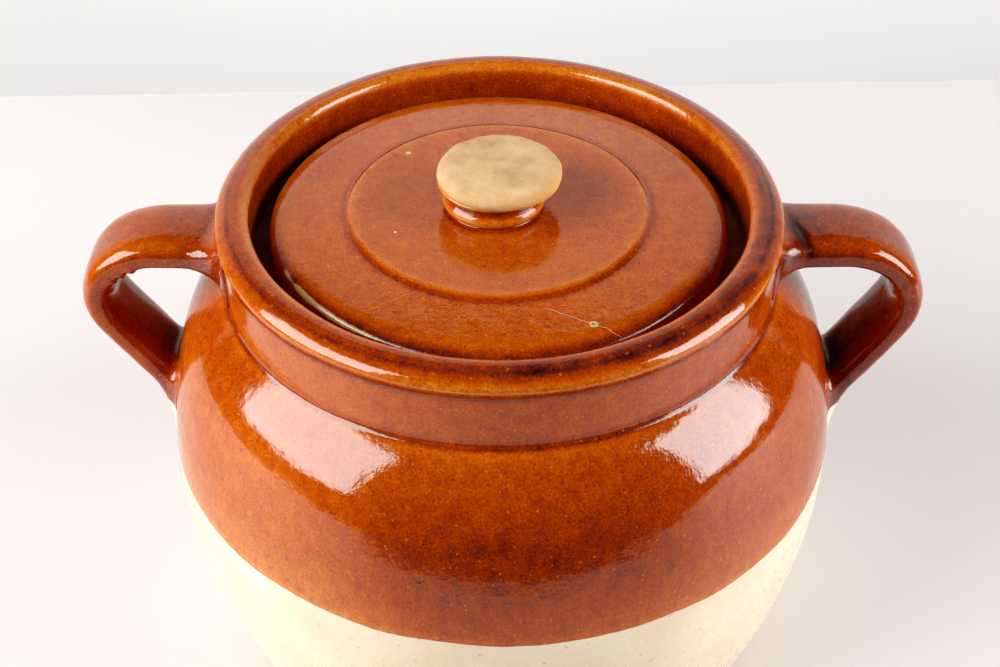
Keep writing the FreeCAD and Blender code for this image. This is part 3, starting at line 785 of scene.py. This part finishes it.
def make_handle(name, side, runs, start, width, thickness, flares, lumps, glaze_end, shade, body_rows=150):
    """A strap pressed onto the collar and the belly, with its ends smeared out onto the pot.
    side is -1 or 1 along X. flares are the smear's radii (over, beside, under) at the top and the tail.
    The coat is cream below the height glaze_end; shade is the tone of the whole strap, and on the right
    strap it is darker as painted shade."""
    line, heading, run = strap_line(np.array(start, float), runs)
    wide, thick, edge = strap_section()
    share = run / run[-1]
    half_width = np.interp(share, *width) / 2
    half_thick = np.interp(share, *thickness) / 2
    up = np.stack([-np.sin(heading), np.cos(heading)], -1)
    flat = line[:, None] + up[:, None] * (half_thick[:, None] * thick)[..., None]
    depth = half_width[:, None] * wide
    streams = np.stack([flat[..., 0], depth, flat[..., 1]], -1)
    sideways = np.broadcast_to(wide * 0.9, depth.shape)
    outward = np.stack([up[:, None, 0] * thick, sideways, up[:, None, 1] * thick], -1)
    outward /= np.linalg.norm(outward, axis=-1)[..., None]
    gap, _ = clearance(streams)

    def flare_rows(radii, last):
        over, beside, under = radii
        radius = beside + (over - beside) * np.clip(thick, 0, 1) ** 3
        radius = radius + (under - beside) * np.clip(-thick, 0, 1) ** 3
        radius = radius * (1 + 0.5 * np.clip(-wide, 0, 1))
        hit = crossing(gap, 0.0, last)
        at_hit = take(streams, hit[None])[0]
        _, normal = clearance(at_hit)
        spin = np.hypot(at_hit[:, 0], at_hit[:, 1])
        across = normal[:, 0] / spin
        normal = np.stack([across * at_hit[:, 0], across * at_hit[:, 1], normal[:, 1]], -1)
        slide = take(outward, hit[None])[0]
        slide -= np.einsum("ij,ij->i", slide, normal)[:, None] * normal
        slide /= np.linalg.norm(slide, axis=1)[:, None]
        rows = []
        for turn in FLARE_TURNS:
            rows.append((crossing(gap, radius * (1 - math.cos(turn)), last), radius * (1 - math.sin(turn))))
        bare = [take(streams, place[None])[0] + slide * push[:, None] for place, push in rows]
        skirt = bare[0] + slide * 0.5 - normal * 0.35
        sunk = bare[0] - normal * 2.5
        return [sunk, skirt] + bare, crossing(gap, radius, last)

    top, top_end = flare_rows(flares[0], False)
    tail, tail_end = flare_rows(flares[1], True)
    shares = np.linspace(0, 1, body_rows)[:, None]
    places = top_end + (tail_end - top_end) * shares
    middle = take(streams, places)
    lift = np.zeros(places.shape)
    here = places * (run[1] - run[0])
    for at, wide_at, thick_at, size, height in lumps:
        away = ((here - at) / size) ** 2 + ((wide - wide_at) / 0.28) ** 2 + ((thick - thick_at) / 0.45) ** 2
        lift += height * np.exp(-away)
    # Painted shade: the dents of the finger marks darken the strap's tone by their depth.
    dent_shade = np.clip(lift, -0.6, 0)
    facing = take(outward, places)
    lift += 0.14 * HANDLE_SWELL(middle) + 0.03 * LID_RIPPLE(middle)
    fade = np.minimum(np.arange(body_rows), np.arange(body_rows)[::-1]) / 6
    middle = middle + facing * (lift * np.clip(fade, 0, 1)[:, None])[..., None]
    rings = np.concatenate([np.stack(top), middle, np.stack(tail[::-1])])
    count = len(top)
    near = np.r_[np.linspace(1, 0.0, count), np.zeros(body_rows), np.linspace(0.0, 1, count)]
    # Painted shade: smear darkens the strap near both ends, where it meets the pot.
    smear = np.exp(-np.minimum(here - here[:1], here[-1:] - here) / 2.5)
    smear = np.concatenate([np.ones((count, SECTION_COUNT)), smear, np.ones((count, SECTION_COUNT))])
    tone = shade + edge * 0.55 - 0.40 * smear * (1 - 0.6 * near[:, None])
    tone[count:-count] += dent_shade
    rings = rings * (side, 1, 1)
    rings = pot_settle(rings)
    above = rings[..., 2] - glaze_end - 0.5 * LINE_WAVER(rings)
    caps = (rings[0].mean(0), rings[-1].mean(0))
    return make_mesh(name, rings, poles=caps, fields={"tone": tone, "above": above})


HANDLE_SWELL = Ripple(17)
HANDLE_FINISH = handle_glaze()

RIGHT_RUNS = [(26, 0), (19.2, 50), (20.4, 73), (29, 0), (10, -16), (14, 0)]
LEFT_RUNS = [(25.6, 0), (18.4, 52), (19.2, 72), (29.5, 0), (10, -17), (14, 0)]
STRAP_WIDTH = ([0, 0.12, 0.3, 0.6, 0.85, 1], [26.6, 26, 25.2, 24.6, 24.8, 22])
STRAP_THICKNESS = ([0, 0.12, 0.3, 0.5, 0.8, 0.92, 1], [11.2, 10.2, 9.7, 8.9, 8.4, 7.8, 6.2])

# Marks of the potter's fingers: place along the strap and across it, size in mm, height in mm.
RIGHT_LUMPS = [(11 + 0.8 * k, -0.2 - 0.17 * k, 0.9 - 0.1 * k, 0.8, -0.7) for k in range(5)]
RIGHT_LUMPS += [(10, -0.95, 0.2, 2.5, 0.9)]
LEFT_LUMPS = [(34, -0.8, -0.7, 1.5, 0.9), (38.5, -0.8, -0.8, 1.4, 1.1), (43, -0.75, -0.7, 1.6, 0.9)]

# The right strap is darker than the left: painted shade.
right = make_handle(
    "handle_strap_right", 1, RIGHT_RUNS, (76, 148.7), STRAP_WIDTH, STRAP_THICKNESS,
    ((4.0, 6.0, 8.0), (8.0, 4.0, 4.0)), RIGHT_LUMPS, 93.0, -0.34,
)
keep(right, "crock", "brown_glaze", HANDLE_FINISH, "handle_right")
left = make_handle(
    "handle_strap_left", -1, LEFT_RUNS, (76, 148.5), STRAP_WIDTH, STRAP_THICKNESS,
    ((4.0, 8.0, 9.0), (9.0, 4.0, 4.0)), LEFT_LUMPS, 95.5, -0.02,
)
keep(left, "crock", "brown_glaze", HANDLE_FINISH, "handle_left")


# ---------------------------------------------------------------- the lid

STEP = np.linspace(0, 1, 9)
EDGE_ROUND, BROW_ROUND = 3.3, 18
EDGE_TURN, BROW_TURN = 70, 86
EDGE_CENTRE = np.array([LID_RADIUS - EDGE_ROUND, SEAT + 7.4])
BROW_CENTRE = EDGE_CENTRE - (BROW_ROUND - EDGE_ROUND) * toward(EDGE_TURN)

# Over the glaze, from the foot of the lid's edge in over the top and up the knob's neck.
LID_TOP = Outline(
    [(LID_RADIUS, SEAT + 2.5)],
    bend(EDGE_CENTRE, (EDGE_ROUND, EDGE_ROUND), 0, EDGE_TURN, gap=0.3),
    bend(BROW_CENTRE, (BROW_ROUND, BROW_ROUND), EDGE_TURN, BROW_TURN, gap=0.5),
    np.c_[45.6 - 2.6 * STEP, 159.0 + 1.1 * STEP * STEP * (3 - 2 * STEP)],
    [(14.6, PLATEAU)],
    bend((14.3, PLATEAU + 1.0), (1.0, 1.0), 270, 190, gap=0.2)[1:],
    bend((11.0, PLATEAU + 3.0), (4.2, 3.0), -38, 45, gap=0.4),
    bend((17.6, PLATEAU + 6.4), (3.4, 2.2), 200, 130, gap=0.3),
    bend((15.7, PLATEAU + 8.6), (0.7, 0.55), -70, 80, gap=0.2),
    [(14.6, PLATEAU + 9.3)],
    gap=0.7,
)


def knob_shift(points):
    """The neck sits a little left of the middle of its cap."""
    near = 1 - smooth(np.hypot(points[..., 0], points[..., 1]), 16, 24)
    return points + near[..., None] * np.array([-1.3, 0, 0])


LID_TONES = [
    (LID_TOP.nearest(30, PLATEAU), 60, 0.27),
    (LID_TOP.nearest(44.3, 159.6), 0.7, -0.35),
    (LID_TOP.nearest(43.0, 160.1), 1.0, -0.22),
    (LID_TOP.nearest(14.0, PLATEAU + 0.2), 1.4, 0.70),
    (LID_TOP.nearest(15.0, PLATEAU + 3.5), 3.0, -0.40),
    (LID_TOP.nearest(14.4, PLATEAU + 6.5), 1.2, 0.45),
]
rings, tone, lengths = coat_rings(
    LID_TOP, 0.0, LID_TOP.length[-1], lid_uneven, lambda p: lid_settle(knob_shift(p)), roll=0.5, sparse=4
)
tone = tone + banded(lengths, LID_TONES)[:, None]
crest = LID_TOP.nearest(LID_RADIUS - 1.2, SEAT + 9.8)
turn = np.arctan2(rings[..., 1], rings[..., 0])
# Painted shade: the lid's outer edge is darkened along its front.
tone = tone - 1.3 * np.exp(-(((lengths - crest) / 2.2) ** 2))[:, None] * smooth(-rings[..., 1], -20, 30)
away = (turn - math.radians(-137)) / 0.36
worn = np.exp(-(away**2)) * np.exp(-(((lengths - crest) / 1.1) ** 2))[:, None]
lid_coat = make_mesh("lid_coat", rings, loop=True, fields={"tone": tone, "worn": worn})
keep(lid_coat, "lid", "brown_glaze", lid_glaze(), "lid_glaze")

UNDERSIDE = 153.1
under = [(2, UNDERSIDE), (43.6, UNDERSIDE), (59.5, SEAT), (64.5, SEAT)]
edge_foot = bend((65.5, SEAT + 1.5), (1.5, 1.5), -90, 0, gap=0.4)
top_place, top_normal = LID_TOP.at(LID_TOP.length[(LID_TOP.length > 0.3) & (LID_TOP.points[:, 0] > 18)])
top_clay = top_place - COAT * top_normal
lid_outline = Outline(under[:1], under[1:], edge_foot, top_clay, [(2, PLATEAU - COAT)], gap=2.5)
depths = np.zeros(len(lid_outline.length))
rings = turned(lid_outline, lid_outline.length, depths, CLAY_COUNT, lid_uneven, lid_settle)
poles = lid_settle(np.array([[0.0, 0, UNDERSIDE], [0.0, 0, PLATEAU - COAT]]))
lid_clay = make_mesh("lid_clay", rings, poles=tuple(poles), fields={"tone": np.zeros(rings.shape[:2])})
keep(lid_clay, "lid", "bare_clay", CLAY_FINISH, "lid_disc")

CAP_EDGE = bend((14.9, PLATEAU + 11.0), (3.1, 2.9), -36, 84, gap=0.35)
crown_x, crown_z = CAP_EDGE[-1]
outward = 1 - np.linspace(0, 1, 16)[1:-1]
crown = np.c_[crown_x * outward, crown_z + (PLATEAU + KNOB_HEIGHT - crown_z) * (1 - outward**2)]
neck = np.array([(2, -1), (12.4, -1), (13.4, 2.4), (13.2, 6.4), (13.6, 8)]) + (0, PLATEAU)
knob_outline = Outline(
    neck, [(15.4, PLATEAU + 9.1)], CAP_EDGE, crown, [(1, PLATEAU + KNOB_HEIGHT)], gap=0.9,
)
KNOB_SWELL = Ripple(9)
KNOB_GRAIN = Ripple(2.6, waves=24)


def knob_uneven(points):
    above = smooth(points[..., 2], PLATEAU + 9, PLATEAU + 11)
    return above * (0.16 * KNOB_SWELL(points) + 0.05 * KNOB_GRAIN(points))


def knob_settle(points):
    turn = np.arctan2(points[..., 1], points[..., 0])
    above = smooth(points[..., 2], PLATEAU + 7, PLATEAU + 9.5)
    moved = points * (1 + 0.012 * above * np.cos(2 * turn - 0.6))[..., None] ** np.array([1, 1, 0])
    moved = moved - (1.6 * (1 - above) + 0.1)[..., None] * np.array([1.0, 0, 0])
    return moved + np.stack([0 * above, 0 * above, above * (points[..., 0] * -0.012)], -1)


depths = np.zeros(len(knob_outline.length))
rings = turned(knob_outline, knob_outline.length, depths, FINE_COUNT, knob_uneven, knob_settle)
turn = np.arctan2(rings[..., 1], rings[..., 0])
# Orange on the right front of the cap's edge.
cap_orange = np.exp(-(((turn + 0.75) / 0.7) ** 2)) * smooth(np.hypot(rings[..., 0], rings[..., 1]), 15.8, 17.4)
poles = knob_settle(np.array([[0.0, 0, PLATEAU - 1], [0.0, 0, PLATEAU + KNOB_HEIGHT]]))
knob = make_mesh("knob_clay", rings, poles=tuple(poles), fields={"tone": cap_orange})
keep(knob, "lid", "bare_clay", CLAY_FINISH, "lid_knob")


# ---------------------------------------------------------------- table, backdrop, light, camera

def flat_stage(name, corners, finish, thick=0.0):
    """A flat sheet, or a slab if it has a thickness, that isn't part of the object; corners in metres."""
    count = len(corners)
    points = list(corners)
    faces = [tuple(range(count))]
    if thick:
        points += [(x, y, z - thick) for x, y, z in corners]
        faces += [tuple(range(2 * count - 1, count - 1, -1))]
        faces += [(i, i + count, (i + 1) % count + count, (i + 1) % count) for i in range(count)]
    mesh = bpy.data.meshes.new(name)
    mesh.from_pydata(points, [], faces)
    mesh.materials.append(finish)
    thing = bpy.data.objects.new(name, mesh)
    bpy.context.collection.objects.link(thing)


def pale_finish(name, low, high, scale, rough, **fixed):
    made, tree = material(name)
    where = object_point(tree)
    cloud = noise(tree, where, scale, 3)
    colour = ramp(tree, cloud, [(0.35, low), (0.65, high)])
    roughness = ranged(tree, cloud, 0, 1, rough, rough + 0.1)
    finish_surface(tree, colour, roughness, cloud, 0.0002, IOR=1.4, **fixed)
    return made


flat_stage(
    "table",
    [(-0.75, -0.338, 0), (0.95, -0.338, 0), (0.95, 0.366, 0), (-0.75, 0.310, 0)],
    pale_finish("table_finish", (0.70, 0.638, 0.622), (0.72, 0.658, 0.642), 3.0, 0.45), 0.02,
)
flat_stage(
    "backdrop",
    [(-1.9, 1.0, -0.9), (1.9, 1.0, -0.9), (1.9, 1.0, 1.25), (-1.9, 1.0, 1.25)],
    pale_finish(
        "backdrop_finish", (0.78, 0.73, 0.71), (0.82, 0.77, 0.75), 2.0, 0.8,
        Emission_Color=(1.0, 0.985, 0.975, 1.0), Emission_Strength=0.46,
    ),
)


LAMP_COLOUR = (0.94, 1.0, 1.015)
LAMP_AWAY = 1.0


def softbox(name, turn, lift, width, height, radiance):
    """A rectangular lamp facing the pot, turn degrees round from the front, + to the right, and lift
    degrees up."""
    lamp = bpy.data.lights.new(name, "AREA")
    lamp.shape = "RECTANGLE"
    lamp.size, lamp.size_y = width, height
    lamp.energy = radiance * math.pi * width * height
    lamp.color = LAMP_COLOUR
    thing = bpy.data.objects.new(name, lamp)
    turn, lift = math.radians(turn), math.radians(lift)
    aim = np.array([math.sin(turn) * math.cos(lift), -math.cos(turn) * math.cos(lift), math.sin(lift)])
    thing.location = tuple(np.array([0, 0, 0.12]) + aim * LAMP_AWAY)
    thing.rotation_euler = (math.pi / 2 - lift, 0, turn)
    bpy.context.collection.objects.link(thing)
    thing.visible_camera = False


softbox("window_left", -69, 27, 0.87, 0.77, 10.0)
softbox("window_right", 77.5, 21, 0.60, 0.73, 11.0)

world = bpy.data.worlds.new("studio")
bpy.context.scene.world = world
world.use_nodes = True
tree = world.node_tree
tree.nodes.clear()
seen = node(tree, "ShaderNodeLightPath", out="Is Camera Ray")
shade = mix(tree, seen, (0.030, 0.026, 0.024), (0.80, 0.79, 0.78))
ground = tree.nodes.new("ShaderNodeBackground")
tree.links.new(shade, ground.inputs["Color"])
out = tree.nodes.new("ShaderNodeOutputWorld")
tree.links.new(ground.outputs[0], out.inputs[0])

CAMERA_LIFT = math.radians(39.5)
CAMERA_AWAY = 0.502
lens = bpy.data.cameras.new("camera")
lens.lens = 57.6
lens.sensor_width = 36
lens.clip_start = 0.01
camera = bpy.data.objects.new("camera", lens)
camera.location = (0, -CAMERA_AWAY * math.cos(CAMERA_LIFT), 0.1107 + CAMERA_AWAY * math.sin(CAMERA_LIFT))
camera.rotation_euler = (math.pi / 2 - CAMERA_LIFT, 0, 0)
bpy.context.collection.objects.link(camera)
scene = bpy.context.scene
scene.camera = camera
scene.view_settings.view_transform = "Standard"
scene.view_settings.look = "None"

# A camera's usual toe: the deepest shadows fall off faster than the light does.
scene.view_settings.use_curve_mapping = True
toe = scene.view_settings.curve_mapping
for light, shown in ((0.015, 0.003), (0.03, 0.010), (0.06, 0.033), (0.1, 0.071), (0.2, 0.175), (0.5, 0.5)):
    toe.curves[3].points.new(light, shown)
toe.update()

bpy.context.view_layer.update()
